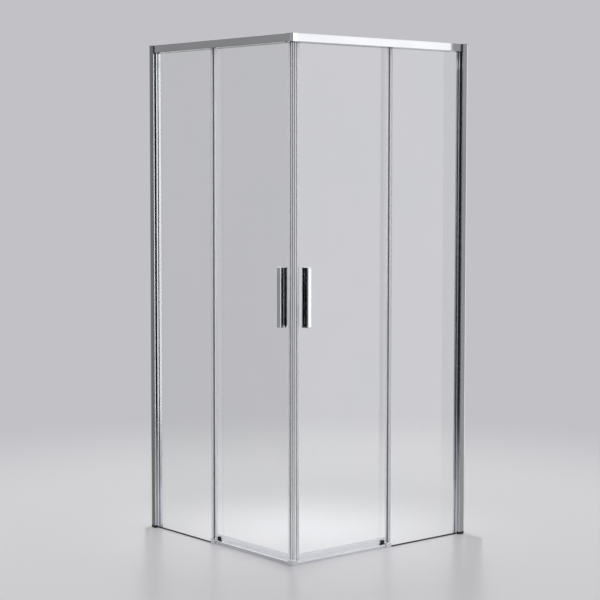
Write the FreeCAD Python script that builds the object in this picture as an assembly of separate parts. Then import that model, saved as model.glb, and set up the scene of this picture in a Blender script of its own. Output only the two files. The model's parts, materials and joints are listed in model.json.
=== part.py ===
import FreeCAD, Part
import math
import os

# Corner shower enclosure on a square plan. All lengths are in millimetres.
# The origin is the centre of the plan on the floor, +Z is up, the walls are at -X and +Y.
# On a side, u runs along it from the wall to the front corner, and v runs inward from the rail's outer face.
# The front side is modelled, and the right side is its mirror image in the diagonal through the corner.

# Overall size
side_length = 900.0
height = 1950.0

# Glass
glass_thickness = 6.0
glass_arris = 0.6
glass_bite = 14.0
pane_setback = 21.0
pane_free_edge = 398.0
pane_floor_gap = 3.0
door_overlap = 18.0
door_corner_gap = 18.0
door_travel = 330.0

# Top rail
rail_height = 30.0
rail_wall = 2.0
rail_fin = 1.5
rail_edge_radius = 1.5
ledge_thickness = 2.0
bead_height = 1.6
bead_base = 3.0
bead_top = 1.6

# Corner connector and rail end block
connector_size = 28.0
connector_edge_radius = 7.0
connector_wall = 3.0
spigot_length = 36.0
spigot_gap = 0.3
neck_length = 18.0
neck_inset = 6.0
neck_drop = 2.0
tongue_height = 25.0

# Wall channel and pane post
channel_reach = 25.0
channel_setback = 4.0
channel_wall = 1.8
channel_bevel = 0.8
post_back = 9.0
post_front = 32.0
post_width = 22.0
post_wall = 1.8
slide_gap = 0.2
pocket_depth = 14.0
cap_thickness = 1.5
cap_plug = 3.0
foot_height = 10.0
wall_hole_radius = 3.0
wall_hole_count = 4
wall_hole_end = 225.0

# Gaskets and seals
gasket_wall = 1.0
strip_lip = 1.0
seal_wall = 1.2
seal_grip = 11.0
seal_nose = 2.0
seal_fin = 1.0
seal_fin_lean = 6.0
seal_fin_gap = 0.6
sweep_height = 26.0
sweep_fin = 3.3
corner_seal_gap = 0.25
magnet_thickness = 2.5
magnet_width = 6.0
magnet_cover = 2.0

# Door hangers, axles, wheels and stops
hanger_length = 44.0
hanger_wall = 2.6
hanger_gap = 1.4
hanger_bridge = 4.0
hanger_lift = 1.0
hanger_edge_radius = 1.5
hanger_inset = 60.0
boss_length = 2.0
boss_side = 9.0
axle_radius = 2.5
axle_head_radius = 4.0
axle_head = 1.0
axle_head_gap = 1.6
axle_end_gap = 0.3
wheel_radius = 9.0
wheel_width = 6.5
wheel_groove = 1.5
wheel_groove_root = 2.4
wheel_side_gap = 0.4
track_gap = 0.3
bearing_radius = 5.5
bearing_width = 4.0
bearing_clearance = 0.05
stop_length = 16.0
stop_side = 2.0
stop_lift = 1.0
stop_gap = 0.3

# Handles
handle_length = 224.0
handle_width = 18.0
handle_bar = 7.5
handle_reach = 18.0
handle_foot = 2.0
handle_groove = 5.0
handle_groove_radius = 2.5
handle_lip_radius = 1.0
handle_edge_radius = 2.5
handle_end_radius = 4.0
handle_centre_height = 987.0
handle_inset = 47.0
washer_thickness = 1.0
washer_length = 14.0
stud_radius = 2.5
stud_inset = 22.0
stud_bite = 13.0
stud_glass_gap = 1.5

# Floor pieces
threshold_height = 17.5
threshold_fall = 5.5
threshold_wall = 1.6
threshold_shoulder = 3.0
corner_block_leg = 27.0
corner_block_height = 19.0
corner_block_radius = 3.0
corner_block_tenon = 18.0
tenon_gap = 0.3
guide_length = 26.0
guide_end_wall = 12.0
guide_height = 19.0
guide_floor = 2.5
guide_grip = 4.0
guide_lip = 8.3
guide_radius = 2.0
insert_wall = 2.0
insert_proud = 0.5
finger_length = 10.0
finger_root = 6.0
finger_width = 5.0
finger_height = 9.0
finger_lift = 0.3
run_gap = 0.5
door_floor_gap = 1.0
seal_joint_gap = 0.3

# Screws
screw_radius = 2.0
screw_head_radius = 3.5
screw_head_height = 2.2
screw_length = 11.5
screw_hole_gap = 0.1
rail_screw_inset = 16.0
post_screw_margin = 0.4
post_screw_low = 300.0
post_screw_drop = 350.0

# Sides of the prisms that stand for small round pieces and holes
fastener_sides = 12
wheel_sides = 32
head_sides = 6

# Depths of the two glass planes and of the rail that spans them
pane_inner = pane_setback + glass_thickness
pane_middle = pane_setback + glass_thickness / 2
groove_outer = pane_setback - gasket_wall
groove_inner = pane_inner + gasket_wall
lane_start = groove_inner + rail_fin
wheel_outer = lane_start + axle_head_gap + axle_head + wheel_side_gap
wheel_middle = wheel_outer + wheel_width / 2
boss_face = wheel_outer + wheel_width + wheel_side_gap
hanger_outer = boss_face + boss_length
door_outer = hanger_outer + hanger_wall
door_inner = door_outer + glass_thickness
door_middle = door_outer + glass_thickness / 2
hanger_inner = door_inner + hanger_wall
ledge_edge = hanger_outer - hanger_gap
rail_depth = hanger_inner + hanger_gap + rail_wall

# Heights
rail_bottom = height - rail_height
glass_top = rail_bottom + glass_bite
groove_ceiling = glass_top + gasket_wall
ledge_top = rail_bottom + ledge_thickness
axle_height = ledge_top + bead_height + track_gap + wheel_radius - wheel_groove
hanger_top = glass_top + hanger_bridge
channel_top = height - cap_thickness
tongue_screw_height = rail_bottom + tongue_height / 2
sweep_tip = guide_floor + insert_wall + door_floor_gap
door_bottom = sweep_tip + sweep_fin + seal_wall
sweep_top = door_bottom - seal_wall + sweep_height

# Positions along the side
rail_start = channel_reach + neck_length
rail_corner = side_length - connector_size
pane_start = post_front - pocket_depth + gasket_wall
door_trailing = pane_free_edge - door_overlap
door_leading = side_length - door_outer - door_corner_gap
hanger_places = {"trailing": door_trailing + hanger_inset, "leading": door_leading - hanger_inset}
guide_end = pane_free_edge + guide_end_wall
guide_start = guide_end - guide_length
finger_bottom = threshold_height + finger_lift
handle_place = door_leading - handle_inset
threshold_outer = groove_outer
threshold_inner = door_outer - seal_wall - run_gap
threshold_slope = threshold_fall / (threshold_inner - threshold_outer)
threshold_hollow_radius = threshold_shoulder - threshold_wall
corner_block_end = side_length - threshold_outer
corner_block_start = corner_block_end - corner_block_leg
channel_inner = 2 * pane_middle - channel_setback
mouth_outer = pane_middle - post_width / 2 - slide_gap
mouth_inner = pane_middle + post_width / 2 + slide_gap
screw_hole = screw_radius + screw_hole_gap
stud_hole = stud_radius + screw_hole_gap
post_screw_reach = post_front - pocket_depth + screw_hole + post_screw_margin

# Directions
upward = FreeCAD.Vector(0, 0, 1)
inward = FreeCAD.Vector(0, 1, 0)
from_wall = FreeCAD.Vector(1, 0, 0)


def place(u, v, z):
    return FreeCAD.Vector(u - side_length / 2, v - side_length / 2, z)


def mirrored(shape):
    return shape.mirror(FreeCAD.Vector(0, 0, 0), FreeCAD.Vector(1, 1, 0))


def rectangle(a_low, b_low, a_high, b_high, radius=0.0):
    corners = ((a_low, b_low), (a_high, b_low), (a_high, b_high), (a_low, b_high))
    return [(a, b, radius) for a, b in corners]


def closed_wire(points, to_space):
    # Each point is (a, b) or (a, b, corner radius); round corners become tangent arcs.
    corners = []
    for index, point in enumerate(points):
        here = FreeCAD.Vector(point[0], point[1], 0)
        radius = point[2] if len(point) > 2 else 0.0
        if radius == 0.0:
            corners.append((here, here, here))
            continue
        before = points[index - 1]
        after = points[(index + 1) % len(points)]
        back = (FreeCAD.Vector(before[0], before[1], 0) - here).normalize()
        ahead = (FreeCAD.Vector(after[0], after[1], 0) - here).normalize()
        half_angle = back.getAngle(ahead) / 2
        middle = (back + ahead).normalize()
        tangent_length = radius / math.tan(half_angle)
        arc_middle = here + middle * (radius / math.sin(half_angle) - radius)
        corners.append((here + back * tangent_length, arc_middle, here + ahead * tangent_length))
    edges = []
    for index, (entry, arc_middle, leave) in enumerate(corners):
        if entry.distanceToPoint(leave) > 1e-6:
            arc = [to_space(p.x, p.y) for p in (entry, arc_middle, leave)]
            edges.append(Part.Arc(*arc).toShape())
        following = corners[(index + 1) % len(corners)][0]
        if leave.distanceToPoint(following) > 1e-6:
            edges.append(Part.makeLine(to_space(leave.x, leave.y), to_space(following.x, following.y)))
    return Part.Wire(edges)


def section(outlines, to_space):
    wires = [closed_wire(points, to_space) for points in outlines]
    return Part.makeFace(wires, "Part::FaceMakerBullseye")


def upright(outlines, z_low, z_high):
    # Plan outlines in (u, v), the first one outside and the rest holes, raised from one height to another.
    return section(outlines, lambda u, v: place(u, v, z_low)).extrude(FreeCAD.Vector(0, 0, z_high - z_low))


def along_side(outlines, u_start, u_end):
    # Cross-section outlines in (v, z), run along the side.
    face = section(outlines, lambda v, z: place(u_start, v, z))
    return face.extrude(FreeCAD.Vector(u_end - u_start, 0, 0))


def across_side(outlines, v_start, v_end):
    # Elevation outlines in (u, z), run inward from one depth to another.
    face = section(outlines, lambda u, z: place(u, v_start, z))
    return face.extrude(FreeCAD.Vector(0, v_end - v_start, 0))


def block(u_low, u_high, v_low, v_high, z_low, z_high):
    return upright([rectangle(u_low, v_low, u_high, v_high)], z_low, z_high)


def rod_across(u, z, radius, v_start, v_end):
    return Part.makeCylinder(radius, v_end - v_start, place(u, v_start, z), inward)


def polygon(sides, radius):
    # Corner points of a regular polygon about the origin.
    angles = [2 * math.pi * k / sides for k in range(sides)]
    return [(radius * math.cos(angle), radius * math.sin(angle)) for angle in angles]


def prism(sides, radius, start, direction, length):
    # Regular prism whose corners lie on the radius, raised from start along direction.
    solid = section([polygon(sides, radius)], lambda a, b: FreeCAD.Vector(a, b, 0)).extrude(upward * length)
    solid.Placement = FreeCAD.Placement(start, FreeCAD.Rotation(upward, direction))
    return solid


def hole(radius, start, direction, length):
    # Cutter for a fastener's hole; its flats touch the radius.
    return prism(fastener_sides, radius / math.cos(math.pi / fastener_sides), start, direction, length)


def channel_outline():
    return [
        (0, channel_setback),
        (channel_reach - channel_bevel, channel_setback),
        (channel_reach, channel_setback + channel_bevel),
        (channel_reach, mouth_outer),
        (channel_wall, mouth_outer),
        (channel_wall, mouth_inner),
        (channel_reach, mouth_inner),
        (channel_reach, channel_inner - channel_bevel),
        (channel_reach - channel_bevel, channel_inner),
        (0, channel_inner),
    ]


def channel_foot():
    # Moulded block that closes the foot of the channel and leaves its mouth open for the post.
    return upright([channel_outline()], 0, foot_height)


def wall_channel():
    # Extrusion with two hollow side walls and a mouth in which the pane post slides.
    back, front = channel_wall, channel_reach - channel_wall
    outer_hollow = rectangle(back, channel_setback + channel_wall, front, mouth_outer - channel_wall)
    inner_hollow = rectangle(back, mouth_inner + channel_wall, front, channel_inner - channel_wall)
    channel = upright([channel_outline(), outer_hollow, inner_hollow], foot_height, channel_top)
    for z in wall_hole_heights():
        start = place(0, pane_middle, z)
        channel = channel.cut(Part.makeCylinder(wall_hole_radius, channel_wall, start, from_wall))
    for z in post_screw_heights() + [tongue_screw_height]:
        start = place(post_screw_reach, mouth_inner, z)
        channel = channel.cut(hole(screw_hole, start, inward, channel_inner - mouth_inner))
    return channel


def wall_hole_heights():
    pitch = (height - 2 * wall_hole_end) / (wall_hole_count - 1)
    return [wall_hole_end + k * pitch for k in range(wall_hole_count)]


def post_screw_heights():
    return [post_screw_low, height - post_screw_drop]


def pane_post():
    # Hollow extrusion with the pocket that holds the wall edge of the fixed pane.
    low = pane_middle - post_width / 2
    high = pane_middle + post_width / 2
    pocket_bottom = post_front - pocket_depth
    outside = [
        (post_back, low),
        (post_front - channel_bevel, low),
        (post_front, low + channel_bevel),
        (post_front, groove_outer),
        (pocket_bottom, groove_outer),
        (pocket_bottom, groove_inner),
        (post_front, groove_inner),
        (post_front, high - channel_bevel),
        (post_front - channel_bevel, high),
        (post_back, high),
    ]
    rear_hollow = rectangle(post_back + post_wall, low + post_wall, pocket_bottom - post_wall, high - post_wall)
    hollow_front = post_front - post_wall
    outer_hollow = rectangle(pocket_bottom, low + post_wall, hollow_front, groove_outer - post_wall)
    inner_hollow = rectangle(pocket_bottom, groove_inner + post_wall, hollow_front, high - post_wall)
    post = upright([outside, rear_hollow, outer_hollow, inner_hollow], 0, rail_bottom)
    for z in post_screw_heights():
        post = post.cut(hole(screw_hole, place(post_screw_reach, high - post_wall, z), inward, post_wall))
    return post


def channel_cap():
    plate = block(0, channel_reach, channel_setback, channel_inner, channel_top, height)
    plug = block(channel_wall + spigot_gap, channel_reach - channel_wall, mouth_outer + spigot_gap,
                 mouth_inner - spigot_gap, channel_top - cap_plug, channel_top)
    return plate.fuse(plug).removeSplitter()


def post_gasket():
    # U-shaped gasket between the post's pocket and the pane.
    bottom = post_front - pocket_depth
    outline = [
        (bottom, groove_outer),
        (post_front, groove_outer),
        (post_front, pane_setback),
        (pane_start, pane_setback),
        (pane_start, pane_inner),
        (post_front, pane_inner),
        (post_front, groove_inner),
        (bottom, groove_inner),
    ]
    return upright([outline], 0, rail_bottom)


def glass_sheet(u_low, u_high, v_low, z_low, z_high):
    # Toughened sheet with ground arrises along its upright edges.
    a = glass_arris
    v_high = v_low + glass_thickness
    outline = [
        (u_low + a, v_low), (u_high - a, v_low), (u_high, v_low + a), (u_high, v_high - a),
        (u_high - a, v_high), (u_low + a, v_high), (u_low, v_high - a), (u_low, v_low + a),
    ]
    return upright([outline], z_low, z_high)


def fixed_pane():
    return glass_sheet(pane_start, pane_free_edge, pane_setback, pane_floor_gap, glass_top)


def pane_base_strip():
    # Bedding strip under the fixed pane, with a lip up each face.
    lip_top = pane_floor_gap + strip_lip
    outline = [
        (groove_outer, 0),
        (groove_inner, 0),
        (groove_inner, lip_top),
        (pane_inner, lip_top),
        (pane_inner, pane_floor_gap),
        (pane_setback, pane_floor_gap),
        (pane_setback, lip_top),
        (groove_outer, lip_top),
    ]
    return along_side([outline], post_front, guide_start)


def pane_edge_seal():
    # Clip on the free edge of the pane, with a fin that leans towards the door's face.
    outer = pane_setback - seal_wall
    inner = pane_inner + seal_wall
    tip = door_outer - seal_wall - seal_fin_gap
    nose = pane_free_edge + seal_nose
    outline = [
        (pane_free_edge - seal_grip, outer),
        (nose, outer, seal_wall),
        (nose, inner),
        (nose - seal_fin_lean + seal_fin, tip),
        (nose - seal_fin_lean, tip),
        (nose - seal_nose, inner),
        (pane_free_edge - seal_grip, inner),
        (pane_free_edge - seal_grip, pane_inner),
        (pane_free_edge, pane_inner),
        (pane_free_edge, pane_setback),
        (pane_free_edge - seal_grip, pane_setback),
    ]
    return upright([outline], guide_height + insert_proud + seal_joint_gap, rail_bottom)


def top_rail():
    # Extrusion with a closed outer chamber, a groove for the fixed pane and an open lane for the hangers.
    # The bead on the ledge carries the wheels. The corner end leaves room for the connector and is mitred there.
    inner_wall = rail_depth - rail_wall
    ceiling = height - rail_wall
    outside = [
        (0, rail_bottom, rail_edge_radius),
        (groove_outer, rail_bottom),
        (groove_outer, groove_ceiling),
        (groove_inner, groove_ceiling),
        (groove_inner, rail_bottom),
        (ledge_edge, rail_bottom),
        (ledge_edge, ledge_top),
        (wheel_middle + bead_base / 2, ledge_top),
        (wheel_middle + bead_top / 2, ledge_top + bead_height),
        (wheel_middle - bead_top / 2, ledge_top + bead_height),
        (wheel_middle - bead_base / 2, ledge_top),
        (lane_start, ledge_top),
        (lane_start, ceiling),
        (inner_wall, ceiling),
        (inner_wall, rail_bottom),
        (rail_depth, rail_bottom),
        (rail_depth, height, rail_edge_radius),
        (0, height, rail_edge_radius),
    ]
    outer_chamber = rectangle(rail_wall, rail_bottom + rail_wall, groove_outer - rail_fin, ceiling)
    groove_chamber = rectangle(groove_outer, groove_ceiling + rail_fin, groove_inner, ceiling)
    rail = along_side([outside, outer_chamber, groove_chamber], rail_start, rail_corner)
    mitre = [(side_length - rail_depth, rail_depth), (rail_corner, connector_size), (rail_corner, rail_depth)]
    rail = rail.cut(upright([mitre], rail_bottom, height))
    for u in (rail_start + rail_screw_inset, rail_corner - rail_screw_inset):
        rail = rail.cut(hole(screw_hole, place(u, outer_chamber_middle(), rail_bottom), upward, rail_wall))
    return rail


def outer_chamber_middle():
    return (rail_wall + groove_outer - rail_fin) / 2


def chamber_spigot(u_start, u_end):
    # Bar that fits the outer chamber of a rail.
    return along_side([rectangle(
        rail_wall + spigot_gap, rail_bottom + rail_wall + spigot_gap,
        groove_outer - rail_fin - spigot_gap, height - rail_wall - spigot_gap,
    )], u_start, u_end)


def rail_screw_hole(u):
    return hole(screw_hole, place(u, outer_chamber_middle(), rail_bottom), upward, screw_length + spigot_gap)


def corner_connector():
    # Cast corner block with a spigot into each rail.
    outline = [
        (rail_corner, 0),
        (side_length, 0, connector_edge_radius),
        (side_length, connector_size),
        (rail_corner, connector_size),
    ]
    body = upright([outline], rail_bottom, height)
    pocket = block(rail_corner + connector_wall, side_length - connector_wall, connector_wall,
                   connector_size - connector_wall, rail_bottom, height - connector_wall)
    spigot = chamber_spigot(rail_corner - spigot_length, rail_corner)
    spigot = spigot.cut(rail_screw_hole(rail_corner - rail_screw_inset))
    return body.cut(pocket).fuse([spigot, mirrored(spigot)]).removeSplitter()


def rail_end_block():
    # Moulded block: a neck that closes the rail, a plug in its chamber and a tongue in the channel's mouth.
    neck = block(channel_reach, rail_start, neck_inset, rail_depth - neck_inset,
                 rail_bottom, height - neck_drop)
    spigot = chamber_spigot(rail_start, rail_start + spigot_length)
    spigot = spigot.cut(rail_screw_hole(rail_start + rail_screw_inset))
    tongue = block(post_back, channel_reach, mouth_outer + spigot_gap, mouth_inner - spigot_gap,
                   rail_bottom, rail_bottom + tongue_height)
    pane_notch = block(post_back, rail_start, groove_outer, groove_inner, rail_bottom, groove_ceiling)
    body = neck.fuse([spigot, tongue]).removeSplitter().cut(pane_notch)
    screw_tip = channel_inner - screw_length - spigot_gap
    start = place(post_screw_reach, screw_tip, tongue_screw_height)
    return body.cut(hole(screw_hole, start, inward, mouth_inner - screw_tip))


def rail_gasket():
    # U-shaped gasket between the rail's groove and the head of the pane.
    outline = [
        (groove_outer, rail_bottom),
        (pane_setback, rail_bottom),
        (pane_setback, glass_top),
        (pane_inner, glass_top),
        (pane_inner, rail_bottom),
        (groove_inner, rail_bottom),
        (groove_inner, groove_ceiling),
        (groove_outer, groove_ceiling),
    ]
    return along_side([outline], rail_start, pane_free_edge)


def rail_stops():
    # Buffers under the rail's top web, met by the hangers at the ends of the travel.
    open_end = hanger_places["trailing"] - door_travel - hanger_length / 2 - stop_gap
    closed_end = hanger_places["leading"] + hanger_length / 2 + stop_gap
    outline = rectangle(door_outer - stop_side, glass_top + stop_lift,
                        door_inner + stop_side, height - rail_wall)
    return [
        along_side([outline], open_end - stop_length, open_end),
        along_side([outline], closed_end, closed_end + stop_length),
    ]


def threshold_ceiling(v):
    # Height of the hollow under the bar's sloping top.
    return threshold_height - threshold_wall - (threshold_inner - v) * threshold_slope


def threshold_bar():
    # Low bar on the floor in line with the fixed pane, open below, with a rib and a top that falls outward.
    rib = (threshold_outer + threshold_inner) / 2
    hollow_outer = threshold_outer + threshold_wall
    hollow_inner = threshold_inner - threshold_wall
    rib_outer = rib - threshold_wall / 2
    rib_inner = rib + threshold_wall / 2
    outside = [
        (threshold_outer, 0),
        (threshold_outer, threshold_height - threshold_fall, threshold_shoulder),
        (threshold_inner, threshold_height, threshold_wall),
        (threshold_inner, 0),
        (hollow_inner, 0),
        (hollow_inner, threshold_ceiling(hollow_inner)),
        (rib_inner, threshold_ceiling(rib_inner)),
        (rib_inner, 0),
        (rib_outer, 0),
        (rib_outer, threshold_ceiling(rib_outer)),
        (hollow_outer, threshold_ceiling(hollow_outer), threshold_hollow_radius),
        (hollow_outer, 0),
    ]
    return along_side([outside], guide_end, corner_block_start)


def corner_block():
    # Cast block that joins the two threshold bars, with a tenon into each.
    leg = upright([[
        (corner_block_start, threshold_outer),
        (corner_block_end, threshold_outer, corner_block_radius),
        (corner_block_end, threshold_inner),
        (corner_block_start, threshold_inner),
    ]], 0, corner_block_height)
    rib = (threshold_outer + threshold_inner) / 2
    tenon_outer = threshold_outer + threshold_wall + tenon_gap
    tenon_inner = rib - threshold_wall / 2 - tenon_gap
    tenon = along_side([[
        (tenon_outer, 0),
        (tenon_inner, 0),
        (tenon_inner, threshold_ceiling(tenon_inner) - tenon_gap),
        (tenon_outer, threshold_ceiling(tenon_outer) - tenon_gap, threshold_hollow_radius),
    ]], corner_block_start - corner_block_tenon, corner_block_start)
    return leg.fuse([mirrored(leg), tenon, mirrored(tenon)]).removeSplitter()


def insert_faces():
    outer = door_outer - seal_wall - run_gap
    inner = door_inner + seal_wall + run_gap
    return outer, inner


def bottom_guide():
    # Block that holds the free bottom corner of the pane and reaches under the door, whose foot it guides.
    outer, inner = insert_faces()
    low = pane_setback - guide_grip
    high = inner + insert_wall + guide_lip
    outside = [
        (low, 0),
        (high, 0),
        (high, guide_height, guide_radius),
        (inner + insert_wall, guide_height),
        (inner + insert_wall, guide_floor),
        (outer - insert_wall, guide_floor),
        (outer - insert_wall, guide_height),
        (low, guide_height, guide_radius),
    ]
    guide = along_side([outside], guide_start, guide_end)
    pane_slot = block(guide_start, pane_free_edge, pane_setback, pane_inner, pane_floor_gap, guide_height)
    return guide.cut([pane_slot, finger_pocket(guide_height)])


def finger_pocket(top):
    # Place of the finger's root in the guide, beside the slot.
    outer = insert_faces()[0]
    return block(guide_end - finger_root, guide_end, outer - finger_width, outer, guide_floor, top)


def guide_insert():
    # Low-friction liner of the guide's slot, with a finger over the threshold for the door to run against.
    outer, inner = insert_faces()
    top = guide_height + insert_proud
    outline = [
        (outer - insert_wall, guide_floor),
        (inner + insert_wall, guide_floor),
        (inner + insert_wall, top),
        (inner, top),
        (inner, guide_floor + insert_wall),
        (outer, guide_floor + insert_wall),
        (outer, top),
        (outer - insert_wall, top),
    ]
    liner = along_side([outline], guide_start, guide_end)
    finger_top = finger_bottom + finger_height
    finger = block(guide_end, guide_end + finger_length, outer - finger_width, outer, finger_bottom, finger_top)
    return liner.fuse([finger_pocket(finger_top), finger]).removeSplitter()


def stud_heights():
    reach = handle_length / 2 - stud_inset
    return handle_centre_height - reach, handle_centre_height + reach


def door_glass():
    sheet = glass_sheet(door_trailing, door_leading, door_outer, door_bottom, glass_top)
    for z in stud_heights():
        sheet = sheet.cut(rod_across(handle_place, z, stud_radius + stud_glass_gap, door_outer, door_inner))
    return sheet


def door_bottom_seal():
    # Clip on the foot of the door with two drip fins.
    outer = door_outer - seal_wall
    inner = door_inner + seal_wall
    floor = door_bottom - seal_wall
    outline = [
        (outer, sweep_top),
        (outer, floor),
        (outer + seal_fin, sweep_tip),
        (outer + 2 * seal_fin, sweep_tip),
        (outer + 2 * seal_fin, floor),
        (inner - 2 * seal_fin, floor),
        (inner - 2 * seal_fin, sweep_tip),
        (inner - seal_fin, sweep_tip),
        (inner, floor),
        (inner, sweep_top),
        (door_inner, sweep_top),
        (door_inner, door_bottom),
        (door_outer, door_bottom),
        (door_outer, sweep_top),
    ]
    return along_side([outline], door_trailing, door_leading - seal_grip - seal_joint_gap)


def door_trailing_seal():
    # Clip on the trailing edge of the door, with a fin that leans towards the fixed pane's inner face.
    outer = door_outer - seal_wall
    inner = door_inner + seal_wall
    tip = pane_inner + seal_fin_gap
    nose = door_trailing - seal_nose
    outline = [
        (nose, inner, seal_wall),
        (nose, outer),
        (nose + seal_fin_lean - seal_fin, tip),
        (nose + seal_fin_lean, tip),
        (nose + seal_nose, outer),
        (door_trailing + seal_grip, outer),
        (door_trailing + seal_grip, door_outer),
        (door_trailing, door_outer),
        (door_trailing, door_inner),
        (door_trailing + seal_grip, door_inner),
        (door_trailing + seal_grip, inner),
    ]
    return upright([outline], sweep_top + seal_joint_gap, rail_bottom - door_floor_gap)


def magnet_outline():
    # Bar of magnet parallel to the mating face, which lies along the diagonal u + v = side_length.
    depth = corner_seal_gap + magnet_cover + magnet_thickness / 2
    middle_u = side_length - door_middle - depth * math.sqrt(2)
    half_length = magnet_width / 2 / math.sqrt(2)
    half_depth = magnet_thickness / 2 / math.sqrt(2)
    signs = ((-1, -1), (-1, 1), (1, 1), (1, -1))
    return [(middle_u - a * half_length + b * half_depth, door_middle + a * half_length + b * half_depth)
            for a, b in signs]


def upright_seal_ends():
    return door_bottom, rail_bottom - door_floor_gap


def door_magnet_seal():
    # Clip on the leading edge of the door with a nose cut at 45 degrees, hollow for the magnet.
    outer = door_outer - seal_wall
    inner = door_inner + seal_wall
    face = side_length - corner_seal_gap * math.sqrt(2)
    outline = [
        (door_leading - seal_grip, outer),
        (face - outer, outer),
        (face - inner, inner),
        (door_leading - seal_grip, inner),
        (door_leading - seal_grip, door_inner),
        (door_leading, door_inner),
        (door_leading, door_outer),
        (door_leading - seal_grip, door_outer),
    ]
    return upright([outline, magnet_outline()], *upright_seal_ends())


def door_magnet_strip():
    return upright([magnet_outline()], *upright_seal_ends())


def handle(glass_face, outward):
    # Bar on the given face of the glass with a finger groove along each side; outward is -1 or 1 along v.
    foot = glass_face + outward * washer_thickness
    ledge = foot + outward * handle_foot
    front = glass_face + outward * handle_reach
    back = front - outward * handle_bar
    low = handle_centre_height - handle_length / 2
    high = handle_centre_height + handle_length / 2
    near = handle_place - handle_width / 2
    far = handle_place + handle_width / 2
    profile = [
        (near, foot),
        (far, foot),
        (far, ledge),
        (far - handle_groove, ledge, handle_groove_radius),
        (far - handle_groove, back, handle_groove_radius),
        (far, back, handle_lip_radius),
        (far, front, handle_edge_radius),
        (near, front, handle_edge_radius),
        (near, back, handle_lip_radius),
        (near + handle_groove, back, handle_groove_radius),
        (near + handle_groove, ledge, handle_groove_radius),
        (near, ledge),
    ]
    ends = [
        (foot, low),
        (front, low, handle_end_radius),
        (front, high, handle_end_radius),
        (foot, high),
    ]
    bar = upright([profile], low, high).common(along_side([ends], near, far))
    for z in stud_heights():
        bar = bar.cut(hole(stud_hole, place(handle_place, foot, z), inward * outward, stud_bite))
    return bar


def handle_washers():
    # Soft pads between the handle's foot and the glass, with a square opening for the stud.
    washers = []
    for v_low in (door_outer - washer_thickness, door_inner):
        for z in stud_heights():
            outside = rectangle(handle_place - handle_width / 2, z - washer_length / 2,
                                handle_place + handle_width / 2, z + washer_length / 2)
            inside = rectangle(handle_place - stud_hole, z - stud_hole, handle_place + stud_hole, z + stud_hole)
            washers.append(across_side([outside, inside], v_low, v_low + washer_thickness))
    return washers


def handle_studs():
    bite = washer_thickness + stud_bite
    length = glass_thickness + 2 * bite
    return [prism(fastener_sides, stud_radius, place(handle_place, door_outer - bite, z), inward, length)
            for z in stud_heights()]


def door_hanger(u):
    # Saddle on the top edge of the door, with the boss that holds the axle.
    low = rail_bottom + hanger_lift
    outline = [
        (hanger_outer, low),
        (hanger_outer, hanger_top, hanger_edge_radius),
        (hanger_inner, hanger_top, hanger_edge_radius),
        (hanger_inner, low),
        (door_inner, low),
        (door_inner, glass_top),
        (door_outer, glass_top),
        (door_outer, low),
    ]
    saddle = along_side([outline], u - hanger_length / 2, u + hanger_length / 2)
    boss = block(u - boss_side / 2, u + boss_side / 2, boss_face, hanger_outer,
                 axle_height - boss_side / 2, axle_height + boss_side / 2)
    boss_start = place(u, boss_face, axle_height)
    bore = hole(axle_radius + bearing_clearance, boss_start, inward, door_outer - boss_face)
    return saddle.fuse(boss).removeSplitter().cut(bore)


def hanger_axle(u):
    # Round pin with a hexagonal head, from the wheel's outer face through the boss to the glass.
    head_face = wheel_outer - wheel_side_gap
    pin = rod_across(u, axle_height, axle_radius, head_face, door_outer - axle_end_gap)
    head_start = place(u, head_face - axle_head, axle_height)
    head = prism(head_sides, axle_head_radius, head_start, inward, axle_head)
    return head.fuse(pin).removeSplitter()


def wheel(u):
    # Grooved tyre pressed on its bearing; the groove straddles the bead of the rail.
    half_root = wheel_groove_root / 2
    root = wheel_radius - wheel_groove
    rings = (
        (wheel_outer, wheel_radius),
        (wheel_middle - half_root, root),
        (wheel_middle + half_root, root),
        (wheel_outer + wheel_width, wheel_radius),
    )
    corners = []
    for v, radius in rings:
        corners.append([place(u + a, v, axle_height - b) for a, b in polygon(wheel_sides, radius)])
    faces = [Part.Face(Part.makePolygon(ring + ring[:1])) for ring in (corners[0], corners[-1])]
    for near, far in zip(corners, corners[1:]):
        for k in range(wheel_sides):
            faces.append(Part.Face(Part.makePolygon([near[k - 1], near[k], far[k], far[k - 1], near[k - 1]])))
    tyre = Part.makeSolid(Part.makeShell(faces))
    bore = prism(wheel_sides, bearing_radius, place(u, wheel_outer, axle_height), inward, wheel_width)
    return tyre.cut(bore)


def bearing(u):
    # Ball bearing between the axle and the tyre.
    outer = wheel_middle - bearing_width / 2
    ring = prism(wheel_sides, bearing_radius, place(u, outer, axle_height), inward, bearing_width)
    return ring.cut(rod_across(u, axle_height, axle_radius + bearing_clearance, outer, outer + bearing_width))


def screw(seat, direction):
    # Seat is the middle of the underside of the head, and direction points along the shank.
    top = seat - direction * screw_head_height
    head = prism(head_sides, screw_head_radius, top, direction, screw_head_height)
    shank = prism(fastener_sides, screw_radius, seat, direction, screw_length)
    return head.fuse(shank).removeSplitter()


def side_screws():
    rail_places = (rail_start + rail_screw_inset, rail_corner - rail_screw_inset)
    screws = [screw(place(u, outer_chamber_middle(), rail_bottom), upward) for u in rail_places]
    for z in post_screw_heights() + [tongue_screw_height]:
        screws.append(screw(place(post_screw_reach, channel_inner, z), inward * -1))
    return screws


def save(node, solids):
    shape = solids[0] if len(solids) == 1 else Part.makeCompound(solids)
    shape.exportStep(os.path.join("parts", node + ".step"))


def both_sides(solids):
    return solids + [mirrored(solid) for solid in solids]


os.makedirs("parts", exist_ok=True)

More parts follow.
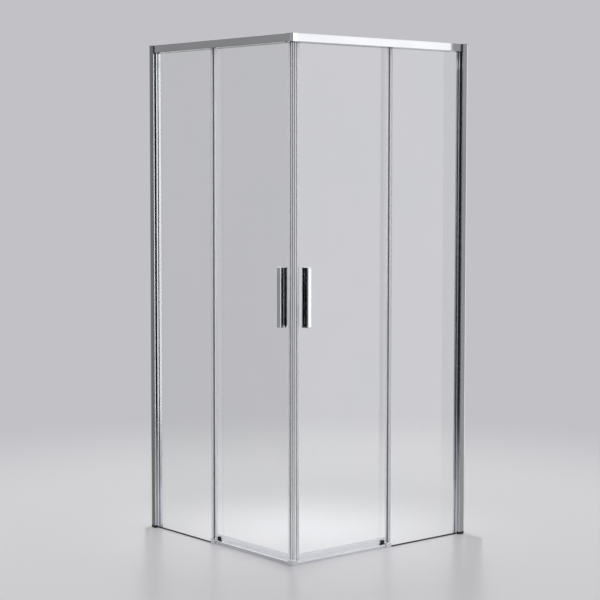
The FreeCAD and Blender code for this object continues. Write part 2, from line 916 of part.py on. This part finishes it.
side_nodes = {
    "wall_channel": [wall_channel()],
    "pane_post": [pane_post()],
    "post_gasket": [post_gasket()],
    "fixed_pane": [fixed_pane()],
    "pane_base_strip": [pane_base_strip()],
    "pane_edge_seal": [pane_edge_seal()],
    "top_rail": [top_rail()],
    "rail_end_block": [rail_end_block()],
    "rail_gasket": [rail_gasket()],
    "threshold_bar": [threshold_bar()],
    "bottom_guide": [bottom_guide()],
    "guide_insert": [guide_insert()],
    "door_glass": [door_glass()],
    "door_bottom_seal": [door_bottom_seal()],
    "door_trailing_seal": [door_trailing_seal()],
    "door_magnet_seal": [door_magnet_seal()],
    "door_magnet_strip": [door_magnet_strip()],
    "outer_handle": [handle(door_outer, -1)],
    "inner_handle": [handle(door_inner, 1)],
    "handle_washers": handle_washers(),
    "handle_studs": handle_studs(),
    "door_hangers": [door_hanger(u) for u in hanger_places.values()],
    "hanger_axles": [hanger_axle(u) for u in hanger_places.values()],
}
for end, u in hanger_places.items():
    side_nodes[end + "_wheel"] = [wheel(u)]
    side_nodes[end + "_bearing"] = [bearing(u)]

for name, solids in side_nodes.items():
    save("front_" + name, solids)
    save("right_" + name, [mirrored(solid) for solid in solids])

save("corner_connector", [corner_connector()])
save("corner_block", [corner_block()])
save("channel_caps", both_sides([channel_cap()]))
save("channel_feet", both_sides([channel_foot()]))
save("rail_stops", both_sides(rail_stops()))
save("frame_screws", both_sides(side_screws()))
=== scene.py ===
import json
import math

import bpy
from mathutils import Matrix, Vector


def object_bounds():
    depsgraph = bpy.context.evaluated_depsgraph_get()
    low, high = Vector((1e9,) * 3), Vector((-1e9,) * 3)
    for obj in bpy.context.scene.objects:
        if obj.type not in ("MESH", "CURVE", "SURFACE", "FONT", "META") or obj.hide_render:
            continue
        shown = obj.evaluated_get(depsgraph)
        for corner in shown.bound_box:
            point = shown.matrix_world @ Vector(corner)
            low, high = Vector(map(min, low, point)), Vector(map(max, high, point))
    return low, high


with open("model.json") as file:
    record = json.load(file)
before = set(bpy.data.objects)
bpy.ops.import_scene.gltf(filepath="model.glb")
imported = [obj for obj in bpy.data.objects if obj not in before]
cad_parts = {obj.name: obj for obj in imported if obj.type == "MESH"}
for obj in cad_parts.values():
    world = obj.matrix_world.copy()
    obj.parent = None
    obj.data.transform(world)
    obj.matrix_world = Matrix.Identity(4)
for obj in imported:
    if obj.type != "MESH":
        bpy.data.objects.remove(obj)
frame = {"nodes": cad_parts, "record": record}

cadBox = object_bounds()
scene = bpy.context.scene
scene.view_settings.view_transform = "Standard"
nodes = frame["nodes"]
slotOf = {part["node"]: part["material_slot"] for part in frame["record"]["subparts"]}


# small helpers

tintA, tintB, tintOut = 6, 7, 2  # the colour sockets of a Mix node


def linear(hexColour):  # sRGB hex to linear RGBA
    parts = [int(hexColour[k:k + 2], 16) / 255 for k in (1, 3, 5)]
    return [c / 12.92 if c <= 0.04045 else ((c + 0.055) / 1.055) ** 2.4 for c in parts] + [1.0]


def metres(sizeMm):
    return sizeMm / 1000.0


def perMetre(sizeMm):  # texture scale for a feature of that size
    return 1000.0 / sizeMm


def addNode(tree, kind, settings=None, links=None):  # keys: a socket's name or number, or a setting's name
    node = tree.nodes.new("ShaderNode" + kind)
    for key, value in (settings or {}).items():
        if isinstance(key, int) or key in node.inputs:
            node.inputs[key].default_value = value
        else:
            setattr(node, key, value)
    for key, source in (links or {}).items():
        tree.links.new(source, node.inputs[key])
    return node


def newMaterial(name):
    material = bpy.data.materials.new(name)
    material.use_nodes = True
    material.node_tree.nodes.clear()
    return material, material.node_tree


def closeMaterial(tree, settings, links):  # the shader and the output behind it
    shader = addNode(tree, "BsdfPrincipled", settings, links)
    return addNode(tree, "OutputMaterial", {}, {"Surface": shader.outputs[0]})


def stretched(tree, axis, acrossMm, alongMm):  # object coordinates drawn out along one axis
    scale = [perMetre(acrossMm)] * 3
    scale["XYZ".index(axis)] = perMetre(alongMm)
    place = addNode(tree, "TexCoord").outputs["Object"]
    return addNode(tree, "Mapping", {"Scale": scale}, {"Vector": place}).outputs[0]


# materials

aluminiumSet = {
    "pale": "#E3E4E7", "dark": "#D2D3D8",
    "lineMm": 4.0, "lineRunMm": 600.0,  # die lines are near 0.3 mm, drawn coarser so that they show
    "cloudMm": 90.0, "cloudRunMm": 270.0, "gloss": (0.07, 0.15), "bump": 0.008, "bumpMm": 0.4,
}


def polishedExtrusion(axis):
    # Aluminium pushed through a die, buffed and bright anodised: a soft mirror with faint lines along it.
    s = aluminiumSet
    material, tree = newMaterial("bright_anodised_aluminium_" + axis)
    lines = addNode(tree, "TexNoise", {"Scale": 1.0, "Detail": 3.0},
                    {"Vector": stretched(tree, axis, s["lineMm"], s["lineRunMm"])})
    cloud = addNode(tree, "TexNoise", {"Scale": 1.0, "Detail": 2.0},
                    {"Vector": stretched(tree, axis, s["cloudMm"], s["cloudRunMm"])})
    colour = addNode(tree, "Mix", {"data_type": "RGBA", tintA: linear(s["pale"]), tintB: linear(s["dark"])},
                     {"Factor": cloud.outputs[0]})
    gloss = addNode(tree, "MapRange", {"To Min": s["gloss"][0], "To Max": s["gloss"][1]},
                    {"Value": lines.outputs[0]})
    bump = addNode(tree, "Bump", {"Strength": s["bump"], "Distance": metres(s["bumpMm"])},
                   {"Height": lines.outputs[0]})
    closeMaterial(tree, {"Metallic": 1.0}, {
        "Base Color": colour.outputs[tintOut], "Roughness": gloss.outputs[0], "Normal": bump.outputs[0]})
    return material


chromeSet = {
    "pale": "#E8E9EB", "dark": "#DADCE0", "waveMm": 14.0, "cloudMm": 60.0,
    "gloss": (0.03, 0.08), "bump": 0.004, "bumpMm": 0.6,
    "groove": "#1C1D1F", "grooveMm": 20.0, "openFrom": 0.62, "openTo": 0.90,  # painted shade for the grooves, and how open a groove's wall lies
}


def chromePlate(name, grooved=False):
    # Zinc casting polished and chrome plated: a hard mirror with a slight waviness left by the buffing wheel.
    # A finger groove gets a painted shade: the colour goes near black where ambient occlusion finds the
    # surface closed in.
    s = chromeSet
    material, tree = newMaterial(name)
    place = addNode(tree, "TexCoord").outputs["Object"]
    wave = addNode(tree, "TexNoise", {"Scale": perMetre(s["waveMm"]), "Detail": 1.0}, {"Vector": place})
    cloud = addNode(tree, "TexNoise", {"Scale": perMetre(s["cloudMm"])}, {"Vector": place})
    colour = addNode(tree, "Mix", {"data_type": "RGBA", tintA: linear(s["pale"]), tintB: linear(s["dark"])},
                     {"Factor": cloud.outputs[0]})
    if grooved:
        # painted shade: ambient occlusion darkens the colour down in the groove
        occlusion = addNode(tree, "AmbientOcclusion", {"only_local": True, "Distance": metres(s["grooveMm"])})
        unshaded = addNode(tree, "MapRange", {"From Min": s["openFrom"], "From Max": s["openTo"]},
                       {"Value": occlusion.outputs["AO"]})
        colour = addNode(tree, "Mix", {"data_type": "RGBA", tintA: linear(s["groove"])},
                         {"Factor": unshaded.outputs[0], tintB: colour.outputs[tintOut]})
    gloss = addNode(tree, "MapRange", {"To Min": s["gloss"][0], "To Max": s["gloss"][1]},
                    {"Value": cloud.outputs[0]})
    bump = addNode(tree, "Bump", {"Strength": s["bump"], "Distance": metres(s["bumpMm"])},
                   {"Height": wave.outputs[0]})
    closeMaterial(tree, {"Metallic": 1.0}, {
        "Base Color": colour.outputs[tintOut], "Roughness": gloss.outputs[0], "Normal": bump.outputs[0]})
    return material


glassSet = {
    "clear": "#FFFFFF", "faint": "#FBFDFC", "waveMm": 260.0, "bump": 0.02, "bumpMm": 1.0, "ior": 1.52,
    "absorb": "#D6E6DF", "density": 4.0,
}


def toughenedGlass():
    # Float glass, toughened on rollers: clear face on, grey green through its edge, with a slow roller wave.
    s = glassSet
    material, tree = newMaterial("clear_toughened_glass")
    place = addNode(tree, "TexCoord").outputs["Object"]
    wave = addNode(tree, "TexNoise", {"Scale": perMetre(s["waveMm"]), "Detail": 0.0}, {"Vector": place})
    colour = addNode(tree, "Mix", {"data_type": "RGBA", tintA: linear(s["clear"]), tintB: linear(s["faint"])},
                     {"Factor": wave.outputs[0]})
    bump = addNode(tree, "Bump", {"Strength": s["bump"], "Distance": metres(s["bumpMm"])},
                   {"Height": wave.outputs[0]})
    output = closeMaterial(tree, {"Roughness": 0.0, "IOR": s["ior"], "Transmission Weight": 1.0}, {
        "Base Color": colour.outputs[tintOut], "Normal": bump.outputs[0]})
    tint = addNode(tree, "VolumeAbsorption", {"Color": linear(s["absorb"]), "Density": s["density"]})
    tree.links.new(tint.outputs[0], output.inputs["Volume"])
    return material


vinylSet = {
    "lineMm": 2.5, "lineRunMm": 350.0,  # flow lines drawn coarser than real
    "gloss": (0.10, 0.24), "bump": 0.03, "bumpMm": 0.3, "ior": 1.53,
    "tones": {  # two colours and how much of the body shows
        "clear": ("#FAFAFE", "#EEEFF6", 0.14), "lilac": ("#F1F0FB", "#E6E5F3", 0.14),
        "white": ("#FCFCFF", "#F3F3F8", 0.30),
    },
    "end": "#4C4D53", "endBody": 0.80,  # painted dark on the closed end in front of the pane's polished edge, for how the glass edge looks through it
    "endFrom": 0.985, "endTo": 0.995,  # how squarely a face must look along the end's direction
}


def extrudedVinyl(tone, axis, end=None):
    # Soft PVC pushed through a die: clear with a faint tinted body, glossy, with flow lines along its length.
    # Where it closes over the pane's edge, in the direction end, the glass behind it makes it look dark, so
    # that dark is painted into its colour.
    s = vinylSet
    clear, milky, body = s["tones"][tone]
    material, tree = newMaterial(tone + "_extruded_vinyl_" + axis)
    lines = addNode(tree, "TexNoise", {"Scale": 1.0, "Detail": 2.0},
                    {"Vector": stretched(tree, axis, s["lineMm"], s["lineRunMm"])})
    colour = addNode(tree, "Mix", {"data_type": "RGBA", tintA: linear(clear), tintB: linear(milky)},
                     {"Factor": lines.outputs[0]})
    gloss = addNode(tree, "MapRange", {"To Min": s["gloss"][0], "To Max": s["gloss"][1]},
                    {"Value": lines.outputs[0]})
    bump = addNode(tree, "Bump", {"Strength": s["bump"], "Distance": metres(s["bumpMm"])},
                   {"Height": lines.outputs[0]})
    links = {"Base Color": colour.outputs[tintOut], "Roughness": gloss.outputs[0], "Normal": bump.outputs[0]}
    if end:
        # painted dark: faces looking along end get a dark colour and more body
        way = addNode(tree, "TexCoord").outputs["Normal"]
        facing = addNode(tree, "VectorMath", {"operation": "DOT_PRODUCT", 1: end}, {0: way})
        paintedDarkMask = addNode(tree, "MapRange", {"From Min": s["endFrom"], "From Max": s["endTo"]},
                         {"Value": facing.outputs["Value"]})
        dark = addNode(tree, "Mix", {"data_type": "RGBA", tintB: linear(s["end"])},
                       {"Factor": paintedDarkMask.outputs[0], tintA: colour.outputs[tintOut]})
        full = addNode(tree, "MapRange", {"To Min": body, "To Max": s["endBody"]},
                       {"Value": paintedDarkMask.outputs[0]})
        links["Base Color"] = dark.outputs[tintOut]
        links["Alpha"] = full.outputs[0]
    closeMaterial(tree, {"IOR": s["ior"], "Alpha": body}, links)
    return material


mouldedSet = {
    "bumpMm": 0.3,
    "finishes": {  # two colours, grain in mm, roughness from and to, bump, metallic
        "glass_filled_grey_nylon": ("#4A4B4E", "#3F4043", 2.0, (0.42, 0.55), 0.15, 0.0),
        "moulded_black_nylon": ("#1B1B1D", "#121213", 2.0, (0.38, 0.52), 0.15, 0.0),
        "moulded_rubber": ("#242425", "#1A1A1B", 3.0, (0.65, 0.8), 0.2, 0.0),
        "turned_white_acetal": ("#E8E7E1", "#DDDCD5", 3.0, (0.28, 0.38), 0.08, 0.0),
        "ferrite_filled_vinyl": ("#55555B", "#47474D", 2.5, (0.5, 0.6), 0.1, 0.0),
        "bare_die_cast_zinc": ("#A4A7AC", "#8F9298", 2.5, (0.38, 0.5), 0.2, 1.0),
        "turned_stainless_steel": ("#C2C0BD", "#B1AFAD", 1.5, (0.2, 0.32), 0.1, 1.0),
    },
}


def mouldedFinish(name):
    # Moulded, cast or turned small parts: an even body colour broken by the tool's grain, drawn coarser than
    # real so that it shows.
    pale, dark, grainMm, gloss, bumpStrength, metallic = mouldedSet["finishes"][name]
    material, tree = newMaterial(name)
    place = addNode(tree, "TexCoord").outputs["Object"]
    grain = addNode(tree, "TexNoise", {"Scale": perMetre(grainMm), "Detail": 4.0}, {"Vector": place})
    colour = addNode(tree, "Mix", {"data_type": "RGBA", tintA: linear(pale), tintB: linear(dark)},
                     {"Factor": grain.outputs[0]})
    rough = addNode(tree, "MapRange", {"To Min": gloss[0], "To Max": gloss[1]}, {"Value": grain.outputs[0]})
    bump = addNode(tree, "Bump", {"Strength": bumpStrength, "Distance": metres(mouldedSet["bumpMm"])},
                   {"Height": grain.outputs[0]})
    closeMaterial(tree, {"Metallic": metallic}, {
        "Base Color": colour.outputs[tintOut], "Roughness": rough.outputs[0], "Normal": bump.outputs[0]})
    return material


finishes = {name: mouldedFinish(name) for name in mouldedSet["finishes"]}
finishes["chrome"] = chromePlate("chrome_plated_zinc")
# chrome with a painted shade in its grooves, for the handles
finishes["groovedChrome"] = chromePlate("chrome_plated_zinc_grooved", True)
finishes["glass"] = toughenedGlass()
for axisName in "XYZ":
    finishes["aluminium" + axisName] = polishedExtrusion(axisName)
for axisName in "XY":
    finishes["lilac" + axisName] = extrudedVinyl("lilac", axisName)
finishes["clearZ"] = extrudedVinyl("clear", "Z")
# pane edge seals, with a painted dark where they close over the pane's edge
finishes["front_pane_edge_seal"] = extrudedVinyl("white", "Z", (1.0, 0.0, 0.0))
finishes["right_pane_edge_seal"] = extrudedVinyl("white", "Z", (0.0, -1.0, 0.0))
print("materials:", len(finishes))


# dressing the nodes

slotFinish = {
    "chrome_casting": "chrome", "zinc_casting": "bare_die_cast_zinc", "steel": "turned_stainless_steel",
    "clear_glass": "glass", "magnet_strip": "ferrite_filled_vinyl", "black_nylon": "moulded_black_nylon",
    "grey_nylon": "glass_filled_grey_nylon", "wheel_acetal": "turned_white_acetal",
    "rubber": "moulded_rubber",
}
lyingWords = ("top_rail", "threshold_bar", "door_bottom_seal")  # extrusions that lie along their side
magnetSet = {"swellMm": 0.1}


def runAxis(node):  # the axis that an extruded piece runs along
    if node.endswith(lyingWords):
        return "X" if node.startswith("front") else "Y"
    return "Z"


def dressNode(node):
    slot = slotOf[node]
    if slot == "bright_aluminium":
        finish = finishes["aluminium" + runAxis(node)]
    elif slot == "clear_vinyl":
        tone = "lilac" if node.endswith("door_bottom_seal") else "clear"
        finish = finishes.get(node) or finishes[tone + runAxis(node)]
    elif node.endswith("handle"):
        # handle chrome with a painted shade down in its finger grooves
        finish = finishes["groovedChrome"]
    else:
        finish = finishes[slotFinish[slot]]
    for place in nodes[node].material_slots:
        place.material = finish
    if slot == "clear_glass":  # clear panes take no soft light from the floor and cast no shadow
        nodes[node].visible_diffuse = False
        nodes[node].visible_shadow = False
    if slot == "magnet_strip":  # swollen by a hair, as a face exactly on its chamber's wall doesn't show
        swell = nodes[node].modifiers.new("swell", "DISPLACE")
        swell.strength = metres(magnetSet["swellMm"])
        swell.mid_level = 0.0


for nodeName in nodes:
    dressNode(nodeName)
print("dressed:", len(nodes), "nodes")


# floor, studio and camera

studioSet = {
    "backdrop": "#C2C1C6",  # what the eye sees behind the part
    "light": "#FFFFFF", "fill": 0.72,  # what matt faces get
    "shade": 0.03,  # what mirrors see outside the zones
    "zones": [  # direction, cosine where the zone starts and where it is full, level; later ones lie on top
        ((0.77, -0.64, 0.0), 0.40, 0.65, 0.02),  # dark around the camera
        ((-0.77, -0.64, 0.0), 0.93, 0.97, 0.31),  # grey, for the flat faces of the front side
        ((0.0, -1.0, 0.1), 0.93, 0.96, 0.95),  # narrow light straight before the front side
        ((0.77, 0.64, 0.05), 0.78, 0.92, 1.32),  # bright, for the flat faces of the right side
        ((-0.77, 0.64, 0.25), 0.50, 0.80, 1.50),  # bright behind the part
        ((-0.77, 0.64, -0.45), 0.90, 0.95, 0.46),  # dimmer low behind it, for the undersides of the rails
        ((0.0, 0.0, 1.0), 0.40, 0.70, 0.90),  # even light overhead
    ],
}


def seenPlainly(tree):  # 1 for what the eye sees, straight on or through glass, but not by way of a mirror
    path = addNode(tree, "LightPath")
    through = addNode(tree, "Math", {"operation": "GREATER_THAN"}, {
        0: path.outputs["Is Transmission Ray"], 1: path.outputs["Glossy Depth"]})
    return addNode(tree, "Math", {"operation": "MAXIMUM"}, {
        0: path.outputs["Is Camera Ray"], 1: through.outputs[0]}).outputs[0]


def standSheet(name, corners, material):  # a flat sheet of the stage
    mesh = bpy.data.meshes.new(name)
    mesh.from_pydata(corners, [], [(0, 1, 2, 3)])
    mesh.materials.append(material)
    sheet = bpy.data.objects.new(name, mesh)
    scene.collection.objects.link(sheet)
    return sheet


floorSet = {
    "size": 30.0, "fadeFrom": 1.1, "fadeTo": 3.2,  # metres, the fade from the part's middle
    "colour": "#D4D3D7", "gloss": 0.34, "specular": 0.12,
}


def layFloor():
    # Pale sheet floor that fades into the backdrop's grey away from the part.
    s = floorSet
    material, tree = newMaterial("pale_sheet_floor")
    place = addNode(tree, "TexCoord").outputs["Object"]
    away = addNode(tree, "VectorMath", {"operation": "LENGTH"}, {0: place})
    fade = addNode(tree, "MapRange", {
        "interpolation_type": "SMOOTHSTEP", "From Min": s["fadeFrom"], "From Max": s["fadeTo"]},
        {"Value": away.outputs["Value"]})
    sheet = addNode(tree, "BsdfPrincipled", {
        "Base Color": linear(s["colour"]), "Roughness": s["gloss"], "Specular IOR Level": s["specular"]})
    backdrop = addNode(tree, "Emission", {"Color": linear(studioSet["backdrop"])})
    studio = addNode(tree, "BsdfTransparent")  # mirrors look on into the studio and show no false horizon
    far = addNode(tree, "MixShader", {}, {0: seenPlainly(tree), 1: studio.outputs[0], 2: backdrop.outputs[0]})
    mixed = addNode(tree, "MixShader", {}, {0: fade.outputs[0], 1: sheet.outputs[0], 2: far.outputs[0]})
    addNode(tree, "OutputMaterial", {}, {"Surface": mixed.outputs[0]})
    half = s["size"] / 2
    corners = [(-half, -half, 0), (half, -half, 0), (half, half, 0), (-half, half, 0)]
    floor = standSheet("studio_floor", corners, material)


cardSet = {  # a grey card beside each wall channel, for the channel's side to mirror
    "gapMm": 2.0, "riseMm": 150.0,  # from the part's box, and above it
    "left": {"reachMm": 27.0, "level": 0.19}, "right": {"reachMm": 95.0, "level": 0.36},
}


def standCard(name):
    s = cardSet[name]
    material, tree = newMaterial(name + "_grey_card")
    glow = addNode(tree, "Emission", {"Strength": s["level"]})
    addNode(tree, "OutputMaterial", {}, {"Surface": glow.outputs[0]})
    (lowX, lowY, _), (highX, highY, highZ) = cadBox
    gap, reach, top = metres(cardSet["gapMm"]), metres(s["reachMm"]), highZ + metres(cardSet["riseMm"])
    if name == "left":
        ax, ay, bx, by = lowX - gap, lowY, lowX - gap, lowY - reach
    else:
        ax, ay, bx, by = highX, highY + gap, highX + reach, highY + gap
    corners = [(ax, ay, 0), (bx, by, 0), (bx, by, top), (ax, ay, top)]
    card = standSheet(name + "_card", corners, material)
    card.visible_camera = False  # only mirrors see the cards
    card.visible_diffuse = False
    card.visible_transmission = False
    card.visible_shadow = False


def lightWorld():
    # Even backdrop for the eye and through glass, even fill for matt faces, and for mirrors a dim studio with
    # soft zones of light.
    s = studioSet
    world = bpy.data.worlds.new("studio")
    scene.world = world
    world.use_nodes = True
    tree = world.node_tree
    tree.nodes.clear()
    way = addNode(tree, "TexCoord").outputs["Generated"]
    level = None
    for direction, start, full, strength in s["zones"]:
        facing = addNode(tree, "VectorMath", {"operation": "DOT_PRODUCT", 1: Vector(direction).normalized()},
                         {0: way})
        part = addNode(tree, "MapRange", {
            "interpolation_type": "SMOOTHSTEP", "From Min": start, "From Max": full},
            {"Value": facing.outputs["Value"]})
        links = {"Factor": part.outputs[0]}
        if level:
            links["A"] = level.outputs[0]
        level = addNode(tree, "Mix", {"A": s["shade"], "B": strength}, links)
    mirrored = addNode(tree, "Background", {"Color": linear(s["light"])}, {"Strength": level.outputs[0]})
    fill = addNode(tree, "Background", {"Color": linear(s["light"]), "Strength": s["fill"]})
    plain = addNode(tree, "Background", {"Color": linear(s["backdrop"])})
    matt = addNode(tree, "LightPath").outputs["Is Diffuse Ray"]
    soft = addNode(tree, "MixShader", {}, {0: matt, 1: mirrored.outputs[0], 2: fill.outputs[0]})
    mixed = addNode(tree, "MixShader", {}, {0: seenPlainly(tree), 1: soft.outputs[0], 2: plain.outputs[0]})
    addNode(tree, "OutputWorld", {}, {"Surface": mixed.outputs[0]})


lampSet = {"height": 3.4, "size": 0.9, "power": 1.3, "spread": 20.0}  # metres, watts, degrees


def hangLamp():  # square softbox that looks straight down
    s = lampSet
    lamp = bpy.data.lights.new("overhead_softbox", "AREA")
    lamp.shape = "SQUARE"
    lamp.size = s["size"]
    lamp.energy = s["power"]
    lamp.spread = math.radians(s["spread"])
    holder = bpy.data.objects.new("overhead_softbox", lamp)
    scene.collection.objects.link(holder)
    holder.location = (0.0, 0.0, s["height"])
    holder.visible_camera = False


cameraSet = {
    "place": (5.0846, -4.2723, 1.4842), "turn": 50.193, "tilt": 3.900, "roll": 0.066,  # metres, degrees
    "lens": 99.740, "sensor": 36.0, "shiftY": -0.04,
}


def placeCamera():
    s = cameraSet
    turn, tilt, roll = (math.radians(s[k]) for k in ("turn", "tilt", "roll"))
    back = Vector((math.sin(turn) * math.cos(tilt), -math.cos(turn) * math.cos(tilt), math.sin(tilt)))
    right = Vector((math.cos(turn), math.sin(turn), 0))
    up = back.cross(right)
    axes = (math.cos(roll) * right + math.sin(roll) * up, math.cos(roll) * up - math.sin(roll) * right, back)
    data = bpy.data.cameras.new("camera")
    data.lens = s["lens"]
    data.sensor_width = s["sensor"]
    data.shift_y = s["shiftY"]
    camera = bpy.data.objects.new("camera", data)
    scene.collection.objects.link(camera)
    camera.matrix_world = Matrix.Translation(s["place"]) @ Matrix(axes).transposed().to_4x4()
    scene.camera = camera


layFloor()
for cardName in ("left", "right"):
    standCard(cardName)
lightWorld()
hangLamp()
placeCamera()
print("stage: floor, two cards, world, lamp, camera")
